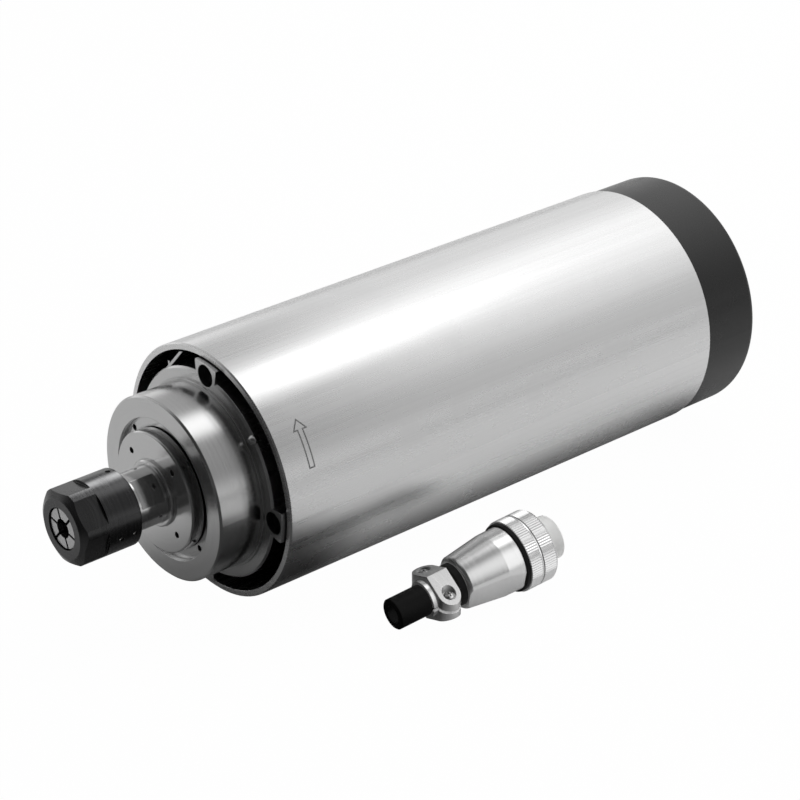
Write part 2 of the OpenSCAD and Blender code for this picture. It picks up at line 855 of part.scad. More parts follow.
module socket_screws() {
  head_t = 1.6;
  head_r = 2.6;
  color("dimgray") for (x = [-1, 1], z = [-1, 1]) translate([x * socket_screw_x, 0, z * socket_screw_x])
    rear_screw(cap_end + socket_flange_t + head_t, socket_flange_t + grille_t, m3_r, head_r, head_t);
}

// Spindle

module spindle_shaft() {
  thread_back = nose_face + nose_thread_len;
  taper_back = collet_back + 1.5;
  relief_r = taper_bore_r(taper_back) - 0.3;
  relief_share = 0.36;
  relief_back = taper_back + relief_share * collet_len;
  collar_r = front_bore_r + 3;
  collar_end = core_start - end_ring_len;
  nose_edge = 0.25;
  flat_back = disc_face - disc_collar_len - flat_gap;
  color("lightgray") difference() {
    turned([
      [taper_mouth_r, nose_face], [nose_r - nose_edge, nose_face], [nose_r, nose_face + 2 * nose_edge],
      [nose_r, thread_back], [neck_r, thread_back + 0.5], [neck_r, disc_face + 1],
      [front_bore_r, disc_face + 1], [front_bore_r, front_end], [collar_r, front_end],
      [collar_r, collar_end], [rotor_bore_r, collar_end], [rotor_bore_r, core_end + end_ring_len],
      [tail_r, core_end + end_ring_len], [tail_r, rear_start], [rear_bore_r, rear_start],
      [rear_bore_r, rear_nut_end], [fan_seat_r, rear_nut_end], [fan_seat_r, shaft_end],
      [0, shaft_end], [0, relief_back], [relief_r, relief_back], [relief_r, taper_back],
      [taper_bore_r(taper_back), taper_back]
    ]);
    for (side = [0, 180]) turn(neck_flat_angle + side)
      translate([flat_r, flat_back - flat_len, -nose_r]) cube([nose_r, flat_len, 2 * nose_r]);
    bar(screw_r, shaft_end - fan_screw_reach, shaft_end + 1, small);
  }
}

module dust_disc() {
  bevel = 0.4;
  rim_back = lock_ring_face - face_gap;
  stem_r = front_od_r - 5 - face_gap;
  hole_r = disc_r * 0.76;
  color("silver") difference() {
    turned([
      [neck_r, disc_face - disc_collar_len], [disc_collar_r - bevel, disc_face - disc_collar_len],
      [disc_collar_r, disc_face - disc_collar_len + bevel], [disc_collar_r, disc_face],
      [disc_r - bevel, disc_face], [disc_r, disc_face + bevel], [disc_r, rim_back],
      [stem_r, rim_back], [stem_r, front_start - 1.5], [front_bore_r + 3, front_start - 1.5],
      [front_bore_r + 3, front_start], [front_bore_r, front_start], [front_bore_r, disc_face + 1],
      [neck_r, disc_face + 1]
    ]);
    for (k = [0:3]) turn(disc_angle + 90 * k) translate([hole_r, 0, 0])
      bar(spanner_hole_r, disc_face - 1, disc_face + 2, small);
  }
}

module rotor_core() {
  color("slategray") ring(rotor_r, rotor_bore_r, core_start, core_end);
}

module rotor_end_rings() {
  ring_out = rotor_r - 1.5;
  vane_count = 8;
  color("lightgray") {
    ring(ring_out, rotor_bore_r, core_start - end_ring_len, core_start);
    ring(ring_out, rotor_bore_r, core_end, core_end + end_ring_len - 3);
    for (k = [1:vane_count]) turn(360 / vane_count * k) translate([ring_out - 2, 0, 0])
      bar(1.2, core_end + end_ring_len - 3.5, core_end + end_ring_len, small);
  }
}

module rear_lock_nut() {
  color("dimgray") difference() {
    ring(rear_bore_r + 3.5, rear_bore_r, rear_end, rear_nut_end, medium);
    for (k = [0:3]) turn(90 * k) translate([rear_bore_r + 2.2, rear_end + 2, -1.5]) cube([3, rear_nut_len, 3]);
  }
}

// Collet, nut and extraction ring

module collet() {
  front_r = nut_mouth_r - 0.14;
  cone_r = 8.2;
  cone_start = nut_face + nut_lip + 0.1;
  cone_len = (cone_r - front_r) / tan(cone_angle);
  slot_stop = 4;
  edge = 0.25;
  color("lightgray") difference() {
    turned([
      [tool_d / 2, collet_face], [front_r - edge, collet_face], [front_r, collet_face + edge],
      [front_r, cone_start], [cone_r, cone_start + cone_len], [cone_r, collet_groove_front],
      [collet_groove_r, collet_groove_front], [collet_groove_r, collet_groove_back],
      [taper_bore_r(collet_groove_back) - run_gap, collet_groove_back],
      [taper_bore_r(collet_back) - run_gap, collet_back], [tool_d / 2, collet_back]
    ]);
    for (k = [0:5]) {
      turn(collet_angle + 60 * k) translate([0, collet_face - 1, -collet_slot / 2])
        cube([taper_mouth_d, collet_len - slot_stop + 1, collet_slot]);
      turn(collet_angle + 30 + 60 * k) translate([0, collet_groove_back + 1.5, -collet_slot / 2])
        cube([taper_mouth_d, collet_len, collet_slot]);
    }
  }
}

module collet_nut() {
  cone_start = nut_face + nut_lip;
  groove_r = ring_r;
  cone_end_r = nut_mouth_r + (ring_front - 0.05 - cone_start) * tan(cone_angle);
  color("black") difference() {
    turned([
      [nut_mouth_r, nut_face], [nut_r - nut_chamfer_w, nut_face], [nut_r, nut_face + nut_chamfer],
      [nut_r, nut_back - 0.4], [nut_r - 0.4, nut_back], [thread_bore_r + 0.5, nut_back],
      [thread_bore_r, nut_back - 0.5], [thread_bore_r, nose_face - 0.3], [groove_r, nose_face - 0.3],
      [groove_r, ring_front], [min(cone_end_r, groove_r - 0.2), ring_front], [nut_mouth_r, cone_start]
    ]);
    for (k = [0:5]) turn(nut_angle + 60 * k)
      translate([nut_flats / 2, nut_face - 1, -nut_r]) cube([nut_r, nut_flat_len + 1, 2 * nut_r]);
    for (hole = balance_holes) turn(hole[1]) translate([nut_r - 1.2, nut_back - hole[0], 0])
      rotate([0, 90, 0]) cylinder(r = drill_r, h = 3, $fn = small);
  }
}

module extraction_ring() {
  color("lightgray") difference() {
    bar(ring_r, ring_front, ring_back);
    translate([ring_offset, 0, 0]) bar(ring_inner_r, ring_front - 1, ring_back + 1);
  }
}

// Plug

// Puts its children where the plug lies, with its own axis along Y
module on_plug() {
  translate([plug_x, plug_y, plug_z]) rotate([plug_tilt, 0, -plug_yaw]) children();
}

// Straight knurl: a prism with many small teeth
module knurled_bar(r, y0, y1) {
  teeth = 90;
  tooth = 0.25;
  along_axis(y0, y1) polygon([for (k = [0:2 * teeth - 1])
    let (a = 180 / teeth * k, radius = k % 2 == 0 ? r : r - tooth)
      [radius * cos(a), radius * sin(a)]]);
}

module plug_backshell() {
  taper_end = shell_end - 5.8;
  rim = 1.4;
  bore_r = boot_collar_r + 0.1;
  lean = atan((shell_big_r - shell_small_r) / (taper_end - shell_start));
  flat_roll = 34;
  flat_share = 0.875;
  color("silver") on_plug() difference() {
    turned([
      [bore_r, body_start - 1], [bore_r, shell_start],
      for (a = [0:15:90]) [shell_small_r - rim * (1 - sin(a)), shell_start + rim * (1 - cos(a))],
      [shell_big_r, taper_end], [shell_big_r + 0.1, shell_end], [body_r, shell_end], [body_r, body_start]
    ]);
    for (side = [0, 180]) turn(side - flat_roll / 2)
      translate([shell_small_r * flat_share, shell_start, 0]) rotate([0, 0, -lean])
        translate([0, -5, -shell_big_r]) cube([5, shell_end - shell_start + 10, 2 * shell_big_r]);
  }
}

module plug_body() {
  color("silver") on_plug() turned([
    [insert_r, body_start], [body_r, body_start], [body_r, body_end - body_flange_t],
    [body_flange_r, body_end - body_flange_t], [body_flange_r, body_end], [insert_r, body_end]
  ]);
}

module plug_lock_ring() {
  rim = 0.5;
  color("silver") on_plug() difference() {
    union() {
      knurled_bar(ring_out_r, lock_ring_start, lock_ring_end - rim);
      bar(ring_out_r - 0.1, lock_ring_end - rim, lock_ring_end);
    }
    bar(body_r, lock_ring_start - 1, lock_ring_end + 1);
  }
}

module plug_seal() {
  color("black") on_plug() ring(seal_r, body_r, shell_end, lock_ring_start);
}

module plug_coupling_ring() {
  rim = 0.6;
  color("silver") on_plug() difference() {
    union() {
      knurled_bar(ring_out_r, coupling_start, coupling_end - rim);
      turned([[0, coupling_end - rim], [ring_out_r - 0.1, coupling_end - rim],
        [ring_out_r - 0.5, coupling_end], [0, coupling_end]]);
    }
    bar(coupling_lip_r, coupling_start - 1, coupling_end + 1);
    bar(coupling_bore_r, coupling_start + coupling_lip_t, coupling_end + 1);
  }
}

module plug_insert() {
  edge = 0.5;
  tail = body_start - 3;
  color("white") on_plug() difference() {
    turned([[0, tail], [insert_r - 1, tail], [insert_r - 1, body_start], [insert_r, body_start],
      [insert_r, plug_len - edge], [insert_r - edge, plug_len], [0, plug_len]]);
    for (angle = pin_angles) turn(angle) translate([pin_pitch_r, 0, 0])
      bar(pin_r + 0.4, tail - 1, plug_len + 1, small);
  }
}

module plug_contacts() {
  tail = body_start - 5;
  tip = plug_len - 0.6;
  color("gold") on_plug() for (angle = pin_angles) turn(angle) translate([pin_pitch_r, 0, 0]) difference() {
    bar(pin_r + 0.4, tail, tip, small);
    bar(pin_r, tip - 9, tip + 1, small);
    bar(pin_r, tail - 1, tail + 2, small);
  }
}

module plug_boot() {
  edge = 0.3;
  color("black") on_plug() turned([
    [cable_r, 0], [boot_r - edge, 0], [boot_r, edge], [boot_r, boot_collar_start],
    [boot_collar_r - 0.6, boot_collar_start], [boot_collar_r, boot_collar_start + 0.6],
    [boot_collar_r, boot_collar_end], [cable_r, boot_collar_end]
  ]);
}

// Height of the clamp's sloping face over the parting plane
function clamp_height(across) = clamp_ridge - across * tan(clamp_slope);
clamp_head_seat = clamp_height(clamp_screw_pitch) - 1.6;

// One half of the cable clamp: a saddle under a roof whose two ears take the screws
module clamp_half(recessed) {
  mid = (clamp_front + clamp_back) / 2;
  ear_end_r = clamp_w / 2;
  difference() {
    union() {
      intersection() {
        along_axis(clamp_front, clamp_back) polygon([
          [-clamp_tip, clamp_gap], [clamp_tip, clamp_gap], [clamp_tip, clamp_height(clamp_tip)],
          [0, clamp_ridge], [-clamp_tip, clamp_height(clamp_tip)]
        ]);
        linear_extrude(clamp_ridge + 1) {
          for (side = [-1, 1]) translate([side * clamp_screw_pitch, mid]) circle(r = ear_end_r, $fn = medium);
          translate([-clamp_screw_pitch, clamp_front]) square([2 * clamp_screw_pitch, clamp_w]);
        }
      }
      intersection() {
        bar(boot_r + collar_wall, clamp_front - collar_lead, clamp_back, medium);
        translate([-boot_d, 0, clamp_gap]) cube([2 * boot_d, clamp_back + 1, boot_d]);
      }
    }
    bar(boot_r, clamp_front - 5, clamp_back + 1, medium);
    for (side = [-1, 1]) {
      translate([side * clamp_screw_pitch, mid, -1])
        cylinder(r = clamp_shank_r + 0.1, h = clamp_ridge, $fn = small);
      if (recessed) translate([side * clamp_screw_pitch, mid, clamp_head_seat])
        cylinder(r = clamp_recess_r, h = clamp_ridge, $fn = small);
    }
  }
}

module upper_cable_clamp() {
  color("silver") on_plug() turn(clamp_roll - 90) clamp_half(true);
}

module lower_cable_clamp() {
  color("silver") on_plug() turn(clamp_roll + 90) clamp_half(false);
}

module clamp_screws() {
  mid = (clamp_front + clamp_back) / 2;
  head_t = 1.3;
  color("silver") on_plug() turn(clamp_roll - 90) for (side = [-1, 1])
    translate([side * clamp_screw_pitch, mid, 0]) difference() {
      union() {
        translate([0, 0, clamp_head_seat]) cylinder(r = clamp_head_r, h = head_t, $fn = small);
        translate([0, 0, -clamp_head_seat]) cylinder(r = clamp_shank_r, h = 2 * clamp_head_seat, $fn = small);
      }
      translate([-0.3, -clamp_head_r, clamp_head_seat + head_t - 0.6]) cube([0.6, 2 * clamp_head_r, 1]);
      translate([-clamp_head_r, -0.3, clamp_head_seat + head_t - 0.6]) cube([2 * clamp_head_r, 0.6, 1]);
    }
}

outer_casing();
front_bearing_housing();
bearing_lock_ring();
housing_screws();
motor_housing();
stator_core();
stator_windings();
front_outer_races();
outer_race_spacer();
rear_bearing_housing();
rear_outer_races();
preload_spring();
motor_leads();
fan_cap();
cap_screws();
power_socket();
socket_insert();
socket_pins();
socket_screws();
spindle_shaft();
dust_disc();
front_inner_races();
inner_race_spacer();
rotor_core();
rotor_end_rings();
rear_inner_races();
rear_lock_nut();
cooling_fan();
fan_screw();
front_balls();
front_ball_cages();
rear_balls();
rear_ball_cages();
collet();
collet_nut();
extraction_ring();
plug_backshell();
plug_body();
plug_lock_ring();
plug_seal();
plug_insert();
plug_contacts();
plug_boot();
upper_cable_clamp();
lower_cable_clamp();
clamp_screws();
plug_coupling_ring();
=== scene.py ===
import json
import math

import bmesh
import bpy
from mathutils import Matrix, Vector


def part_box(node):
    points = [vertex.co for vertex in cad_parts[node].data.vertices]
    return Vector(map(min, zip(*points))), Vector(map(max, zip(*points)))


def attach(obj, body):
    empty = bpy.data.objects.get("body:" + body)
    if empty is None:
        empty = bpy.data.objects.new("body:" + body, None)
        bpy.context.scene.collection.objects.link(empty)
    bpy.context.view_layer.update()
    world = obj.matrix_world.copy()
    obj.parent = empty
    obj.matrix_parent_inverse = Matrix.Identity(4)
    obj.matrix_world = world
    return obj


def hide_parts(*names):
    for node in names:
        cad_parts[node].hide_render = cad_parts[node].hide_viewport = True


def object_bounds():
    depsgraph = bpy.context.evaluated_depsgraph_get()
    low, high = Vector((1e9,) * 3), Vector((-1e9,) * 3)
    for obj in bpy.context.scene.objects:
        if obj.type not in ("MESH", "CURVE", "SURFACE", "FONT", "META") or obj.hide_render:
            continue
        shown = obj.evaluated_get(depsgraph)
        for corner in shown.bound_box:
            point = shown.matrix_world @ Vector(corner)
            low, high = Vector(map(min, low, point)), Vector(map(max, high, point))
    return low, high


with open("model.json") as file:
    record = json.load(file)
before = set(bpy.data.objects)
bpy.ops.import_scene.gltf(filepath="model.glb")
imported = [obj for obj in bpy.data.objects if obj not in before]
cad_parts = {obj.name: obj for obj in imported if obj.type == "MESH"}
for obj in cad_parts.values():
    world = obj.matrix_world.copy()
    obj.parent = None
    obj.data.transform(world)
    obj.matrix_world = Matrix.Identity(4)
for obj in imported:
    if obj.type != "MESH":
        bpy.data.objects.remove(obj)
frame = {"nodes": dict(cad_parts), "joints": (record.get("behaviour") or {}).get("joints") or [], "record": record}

cad_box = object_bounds()
mm = 0.001
white = (1, 1, 1, 1)

# The two axes that turned parts run on
spindle_origin = Vector((0, 0, 0))
spindle_axis = Vector((0, 1, 0))
plug_joint = next(j for j in frame["joints"] if j["child"] == "coupling_ring")
plug_origin = Vector(plug_joint["pos_m"])
plug_axis = Vector(plug_joint["axis"]).normalized()


# Short ways to write a node tree

class Nodes:
    """A node tree in which values and sockets are joined by plain calls."""

    def __init__(self, tree):
        self.tree = tree

    def add(self, kind, **settings):
        node = self.tree.nodes.new(kind)
        for name, value in settings.items():
            setattr(node, name, value)
        return node

    def put(self, socket, value):
        if isinstance(value, bpy.types.NodeSocket):
            self.tree.links.new(value, socket)
        else:
            socket.default_value = value

    def put_all(self, sockets, values):
        for socket, value in zip(sockets, values):
            self.put(socket, value)

    def maths(self, operation, *values):
        node = self.add("ShaderNodeMath", operation=operation)
        self.put_all(node.inputs, values)
        return node.outputs[0]

    def vector(self, operation, *values):
        node = self.add("ShaderNodeVectorMath", operation=operation)
        self.put_all(node.inputs, values)
        return node.outputs["Value" if operation in ("DOT_PRODUCT", "LENGTH") else "Vector"]

    def between(self, value, low, high, to_low=0.0, to_high=1.0):
        """The value's place from low to high, eased, as a number from to_low to to_high."""
        node = self.add("ShaderNodeMapRange", interpolation_type="SMOOTHSTEP")
        for name, number in (("Value", value), ("From Min", low), ("From Max", high),
                             ("To Min", to_low), ("To Max", to_high)):
            self.put(node.inputs[name], number)
        return node.outputs["Result"]

    def mixed(self, share, first, second):
        """A colour from the first to the second, by a share from 0 to 1."""
        node = self.add("ShaderNodeMix", data_type="RGBA")
        self.put(node.inputs["Factor"], share)
        for name, colour in (("A", first), ("B", second)):
            socket = next(s for s in node.inputs if s.name == name and s.type == "RGBA")
            self.put(socket, colour if isinstance(colour, bpy.types.NodeSocket) else (*colour, 1))
        return next(s for s in node.outputs if s.type == "RGBA")

    def noise(self, where, scale, detail=2.0, roughness=0.5, dimensions="3D"):
        node = self.add("ShaderNodeTexNoise", noise_dimensions=dimensions)
        self.put(node.inputs["W" if dimensions == "1D" else "Vector"], where)
        self.put(node.inputs["Scale"], scale)
        self.put(node.inputs["Detail"], detail)
        self.put(node.inputs["Roughness"], roughness)
        return node.outputs["Fac"]

    def place(self):
        """The place on the object, in metres from the frame's origin."""
        return self.add("ShaderNodeTexCoord").outputs["Object"]

    def parts(self, vector):
        """A vector's three parts, as sockets named X, Y and Z."""
        node = self.add("ShaderNodeSeparateXYZ")
        self.put(node.inputs[0], vector)
        return node.outputs

    def effect(self, group, **inputs):
        """The outputs of a shared effect, with its own values in place."""
        node = self.add("ShaderNodeGroup", node_tree=group)
        for name, value in inputs.items():
            self.put(node.inputs[name], value)
        return node.outputs

    def bump(self, height, depth, normal=None):
        node = self.add("ShaderNodeBump")
        self.put(node.inputs["Height"], height)
        self.put(node.inputs["Distance"], depth)
        self.put(node.inputs["Strength"], 1.0)
        if normal is not None:
            self.put(node.inputs["Normal"], normal)
        return node.outputs["Normal"]

    def glow(self, strength):
        """A white light given off by a surface."""
        node = self.add("ShaderNodeEmission")
        self.put_all((node.inputs["Color"], node.inputs["Strength"]), (white, strength))
        return node.outputs[0]

    def show(self, share, first, second):
        """The material shows its first shader, and the second by a share."""
        mix = self.add("ShaderNodeMixShader")
        self.put_all(mix.inputs, (share, first, second))
        self.put(self.tree.nodes["Material Output"].inputs["Surface"], mix.outputs[0])


def effect_group(name, inputs, outputs):
    """An empty effect, with its named sockets, and the sockets to build between."""
    tree = bpy.data.node_groups.new(name, "ShaderNodeTree")
    for socket, kind, value in inputs:
        made = tree.interface.new_socket(socket, in_out="INPUT", socket_type="NodeSocket" + kind)
        made.default_value = value
    for socket, kind in outputs:
        tree.interface.new_socket(socket, in_out="OUTPUT", socket_type="NodeSocket" + kind)
    nodes = Nodes(tree)
    given = nodes.add("NodeGroupInput").outputs
    wanted = nodes.add("NodeGroupOutput").inputs
    return tree, nodes, given, wanted


# Effects that more than one finish uses

def make_turned_marks():
    """Fine rings that a lathe tool leaves round an axis, on faces and on barrels alike."""
    tree, n, given, wanted = effect_group(
        "turned marks",
        [("Place", "Vector", (0, 0, 0)), ("Origin", "Vector", (0, 0, 0)), ("Axis", "Vector", (0, 1, 0)),
         ("Pitch", "Float", 0.2 * mm)],
        [("Height", "Float"), ("Tone", "Float")],
    )
    arm = n.vector("SUBTRACT", given["Place"], given["Origin"])
    along = n.vector("DOT_PRODUCT", arm, given["Axis"])
    length = n.vector("LENGTH", arm)
    out = n.maths("SQRT", n.maths("SUBTRACT", n.maths("MULTIPLY", length, length),
                                  n.maths("MULTIPLY", along, along)))
    path = n.maths("DIVIDE", n.maths("ADD", along, out), given["Pitch"])
    fine = n.noise(path, scale=1.0, detail=3.0, roughness=0.6, dimensions="1D")
    broad = n.noise(path, scale=0.13, dimensions="1D")
    n.put(wanted["Height"], fine)
    n.put(wanted["Tone"], n.between(n.maths("ADD", fine, broad), 0.7, 1.3))
    return tree


def make_drawn_streaks():
    """Streaks of a belt or a brush, long in one direction and narrow across it."""
    tree, n, given, wanted = effect_group(
        "drawn streaks",
        [("Place", "Vector", (0, 0, 0)), ("Squeeze", "Vector", (1, 0.02, 1)), ("Width", "Float", 0.4 * mm)],
        [("Height", "Float"), ("Tone", "Float")],
    )
    where = n.vector("MULTIPLY", given["Place"], given["Squeeze"])
    count = n.maths("DIVIDE", 1.0, given["Width"])
    fine = n.noise(where, count, detail=3.0, roughness=0.6)
    broad = n.noise(where, n.maths("MULTIPLY", count, 0.12))
    n.put(wanted["Height"], fine)
    n.put(wanted["Tone"], n.between(n.maths("ADD", fine, broad), 0.75, 1.25))
    return tree


def make_handling_marks():
    """Soft patches of touch and wiping."""
    tree, n, given, wanted = effect_group(
        "handling marks",
        [("Place", "Vector", (0, 0, 0)), ("Size", "Float", 20 * mm)],
        [("Smudge", "Float")],
    )
    cloud = n.noise(given["Place"], n.maths("DIVIDE", 1.0, given["Size"]), detail=4.0, roughness=0.6)
    n.put(wanted["Smudge"], n.between(cloud, 0.42, 0.68))
    return tree


def make_worn_edges():
    """Edges broken by a small radius, and how much a place is on such an edge."""
    patches_per_metre = 900.0
    tree, n, given, wanted = effect_group(
        "worn edges",
        [("Place", "Vector", (0, 0, 0)), ("Radius", "Float", 0.3 * mm)],
        [("Edge", "Float"), ("Normal", "Vector")],
    )
    rounding = n.add("ShaderNodeBevel", samples=4)
    n.put(rounding.inputs["Radius"], given["Radius"])
    flat = n.add("ShaderNodeNewGeometry").outputs["Normal"]
    turn = n.maths("SUBTRACT", 1.0, n.vector("DOT_PRODUCT", rounding.outputs[0], flat))
    patchy = n.noise(given["Place"], scale=patches_per_metre, detail=3.0, roughness=0.6)
    n.put(wanted["Edge"], n.maths("MULTIPLY", n.between(turn, 0.01, 0.12),
                                  n.between(patchy, 0.35, 0.6)))
    n.put(wanted["Normal"], rounding.outputs[0])
    return tree


def make_corner_grime_and_shade():
    """Corners and narrow gaps, where dust and oil stay and where shade falls, as a mask for grime and painted
    shade.
    """
    patches_per_metre = 500.0
    tree, n, given, wanted = effect_group(
        "corner grime and painted shade",
        [("Place", "Vector", (0, 0, 0)), ("Reach", "Float", 2 * mm)],
        [("Grime and shade", "Float")],
    )
    # The occlusion here marks corners for grime and for painted shade alike.
    open_sky = n.add("ShaderNodeAmbientOcclusion", samples=4)
    n.put(open_sky.inputs["Distance"], given["Reach"])
    patchy = n.noise(given["Place"], scale=patches_per_metre, detail=3.0, roughness=0.6)
    closed = n.between(open_sky.outputs["AO"], 0.75, 0.25)
    n.put(wanted["Grime and shade"], n.maths("MULTIPLY", closed, n.between(patchy, 0.2, 0.7, 0.5, 1.0)))
    return tree


def make_fine_grain():
    """The even grain of a moulded, cast or plated skin."""
    tree, n, given, wanted = effect_group(
        "fine grain",
        [("Place", "Vector", (0, 0, 0)), ("Size", "Float", 0.3 * mm)],
        [("Height", "Float"), ("Tone", "Float")],
    )
    count = n.maths("DIVIDE", 1.0, given["Size"])
    grain = n.noise(given["Place"], count, detail=3.0, roughness=0.55)
    n.put(wanted["Height"], grain)
    n.put(wanted["Tone"], n.between(n.noise(given["Place"], n.maths("MULTIPLY", count, 0.06)), 0.3, 0.7))
    return tree


turned_marks = make_turned_marks()
drawn_streaks = make_drawn_streaks()
handling_marks = make_handling_marks()
worn_edges = make_worn_edges()
corner_grime_and_shade = make_corner_grime_and_shade()
fine_grain = make_fine_grain()


# How use, and painted shade in corners, show on metal
low_tone = 0.94
rubbed_metal = (0.92, 0.92, 0.92)
rubbed_share = 0.5
metal_grime_and_shade_share = 0.7
metal_touch_size = 14 * mm
metal_touch_dulls = 0.03
metal_grime_dulls = 0.2

# How use shows on moulded skins, with dust in their corners that on pale skins is painted shade too
dark_grain = 0.9
light_grain = 1.08
dust_and_shade = (0.09, 0.085, 0.08)
dust_and_shade_share = 0.35
dust_and_shade_reach = 3 * mm
skin_edge = 0.4 * mm
skin_touch_size = 20 * mm
skin_touch_shines = -0.06
skin_grain_dulls = 0.05


# Finishes

def grey(tone):
    """A colour without a hue."""
    return (tone, tone, tone)


def finish(name, metallic=0.0, specular=0.5, coat=0.0):
    """A material with one Principled shader, and the tree to build its surface in."""
    material = bpy.data.materials.new(name)
    material.use_nodes = True
    surface = material.node_tree.nodes["Principled BSDF"].inputs
    surface["Metallic"].default_value = metallic
    surface["Specular IOR Level"].default_value = specular
    surface["Coat Weight"].default_value = coat
    surface["Coat Roughness"].default_value = 0.1
    return material, Nodes(material.node_tree), surface


def bare_metal(name, colour, stain_and_shade, smooth, rough, marks, depth, edge=0.25 * mm, corner_reach=2.5 * mm):
    """Metal with tool marks in its sheen, broken edges, touch marks, and grime with painted shade in its corners.
    """
    material, n, surface = finish(name, metallic=1.0)
    where = n.place()
    surface_marks = marks(n, where)
    touch = n.effect(handling_marks, Place=where, Size=metal_touch_size)
    edges = n.effect(worn_edges, Place=where, Radius=edge)
    grime_and_shade = n.effect(corner_grime_and_shade, Place=where, Reach=corner_reach)["Grime and shade"]
    tone = n.mixed(surface_marks["Tone"], [c * low_tone for c in colour], colour)
    rubbed = n.mixed(n.maths("MULTIPLY", edges["Edge"], rubbed_share), tone, rubbed_metal)
    # Corners take the dark stained colour, as grime and as painted shade.
    n.put(surface["Base Color"], n.mixed(n.maths("MULTIPLY", grime_and_shade, metal_grime_and_shade_share), rubbed, stain_and_shade))
    sheen = n.maths("ADD", n.maths("MULTIPLY", surface_marks["Tone"], rough - smooth), smooth)
    touched = n.maths("ADD", sheen, n.maths("MULTIPLY", touch["Smudge"], metal_touch_dulls))
    n.put(surface["Roughness"], n.maths("ADD", touched, n.maths("MULTIPLY", grime_and_shade, metal_grime_dulls)))
    n.put(surface["Normal"], n.bump(surface_marks["Height"], depth, edges["Normal"]))
    return material


def moulded(name, colour, worn, rough, grain, depth, specular=0.5):
    """A moulded skin with grain, slightly polished edges, touch marks, and dust in its corners that darkens the
    pale skins as painted shade.
    """
    material, n, surface = finish(name, specular=specular)
    where = n.place()
    skin = n.effect(fine_grain, Place=where, Size=grain)
    touch = n.effect(handling_marks, Place=where, Size=skin_touch_size)
    edges = n.effect(worn_edges, Place=where, Radius=skin_edge)
    grime_and_shade = n.effect(corner_grime_and_shade, Place=where, Reach=dust_and_shade_reach)["Grime and shade"]
    tone = n.mixed(skin["Tone"], [c * dark_grain for c in colour], [c * light_grain for c in colour])
    rubbed = n.mixed(n.maths("MULTIPLY", edges["Edge"], rubbed_share), tone, worn)
    # Corners take the dust colour: lighter on the black skins, and on pale skins a darkening that is painted
    # shade.
    n.put(surface["Base Color"], n.mixed(n.maths("MULTIPLY", grime_and_shade, dust_and_shade_share), rubbed, dust_and_shade))
    touched = n.maths("ADD", rough, n.maths("MULTIPLY", touch["Smudge"], skin_touch_shines))
    grained = n.maths("MULTIPLY", skin["Height"], skin_grain_dulls)
    n.put(surface["Roughness"], n.maths("ADD", touched, grained))
    n.put(surface["Normal"], n.bump(skin["Height"], depth, edges["Normal"]))
    return material


def rings_round(origin, axis, pitch):
    """Turned marks of one pitch round one axis."""
    return lambda n, where: n.effect(turned_marks, Place=where, Origin=origin, Axis=axis, Pitch=pitch)


def spindle_rings(pitch):
    return rings_round(spindle_origin, spindle_axis, pitch)


def plug_rings(pitch):
    return rings_round(plug_origin, plug_axis, pitch)


def streaks_along(squeeze, width):
    return lambda n, where: n.effect(drawn_streaks, Place=where, Squeeze=squeeze, Width=width)


def even_skin(size):
    return lambda n, where: n.effect(fine_grain, Place=where, Size=size)


def ground_casing():
    """The tube's bright skin, ground along its length."""
    return bare_metal("ground casing", colour=grey(0.83), stain_and_shade=grey(0.30), smooth=0.25, rough=0.29,
                      marks=streaks_along((1, 0.003, 1), 0.9 * mm), depth=0.0012 * mm)


def etched_mark():
    """Steel that the etching left dull and grey."""
    return bare_metal("etched line", colour=grey(0.30), stain_and_shade=grey(0.12), smooth=0.42, rough=0.56,
                      marks=even_skin(0.2 * mm), depth=0.01 * mm)


def turned_steel():
    return bare_metal("turned steel", colour=grey(0.64), stain_and_shade=grey(0.08), smooth=0.14, rough=0.2,
                      marks=spindle_rings(0.16 * mm), depth=0.0018 * mm)


def turned_boss():
    """The bearing boss, turned and left a little coarser than the shaft."""
    return bare_metal("turned boss", colour=grey(0.64), stain_and_shade=grey(0.08), smooth=0.18, rough=0.25,
                      marks=spindle_rings(0.2 * mm), depth=0.0025 * mm)


def ground_shaft():
    """The shaft, ground bright all round its neck and its wrench flats."""
    return bare_metal("ground shaft", colour=grey(0.70), stain_and_shade=grey(0.08), smooth=0.08, rough=0.14,
                      marks=spindle_rings(0.12 * mm), depth=0.001 * mm)


def ground_collet():
    return bare_metal("ground collet steel", colour=grey(0.52), stain_and_shade=grey(0.03), smooth=0.24, rough=0.34,
                      marks=spindle_rings(0.12 * mm), depth=0.003 * mm)


def bearing_chrome():
    return bare_metal("polished bearing steel", colour=(0.78, 0.78, 0.79), stain_and_shade=(0.30, 0.27, 0.22),
                      smooth=0.08, rough=0.16, marks=spindle_rings(0.1 * mm), depth=0.003 * mm)


def motor_casting():
    return bare_metal("machined casting", colour=(0.66, 0.66, 0.67), stain_and_shade=(0.22, 0.21, 0.20),
                      smooth=0.3, rough=0.48, marks=even_skin(0.6 * mm), depth=0.06 * mm)


def sheet_laminations():
    return bare_metal("varnished laminations", colour=(0.24, 0.25, 0.28), stain_and_shade=grey(0.08),
                      smooth=0.35, rough=0.55, marks=streaks_along((0.02, 1, 0.02), 0.5 * mm),
                      depth=0.08 * mm)


def bright_nickel():
    return bare_metal("bright nickel plate", colour=grey(0.88), stain_and_shade=grey(0.08), smooth=0.17, rough=0.25,
                      marks=plug_rings(0.2 * mm), depth=0.006 * mm)


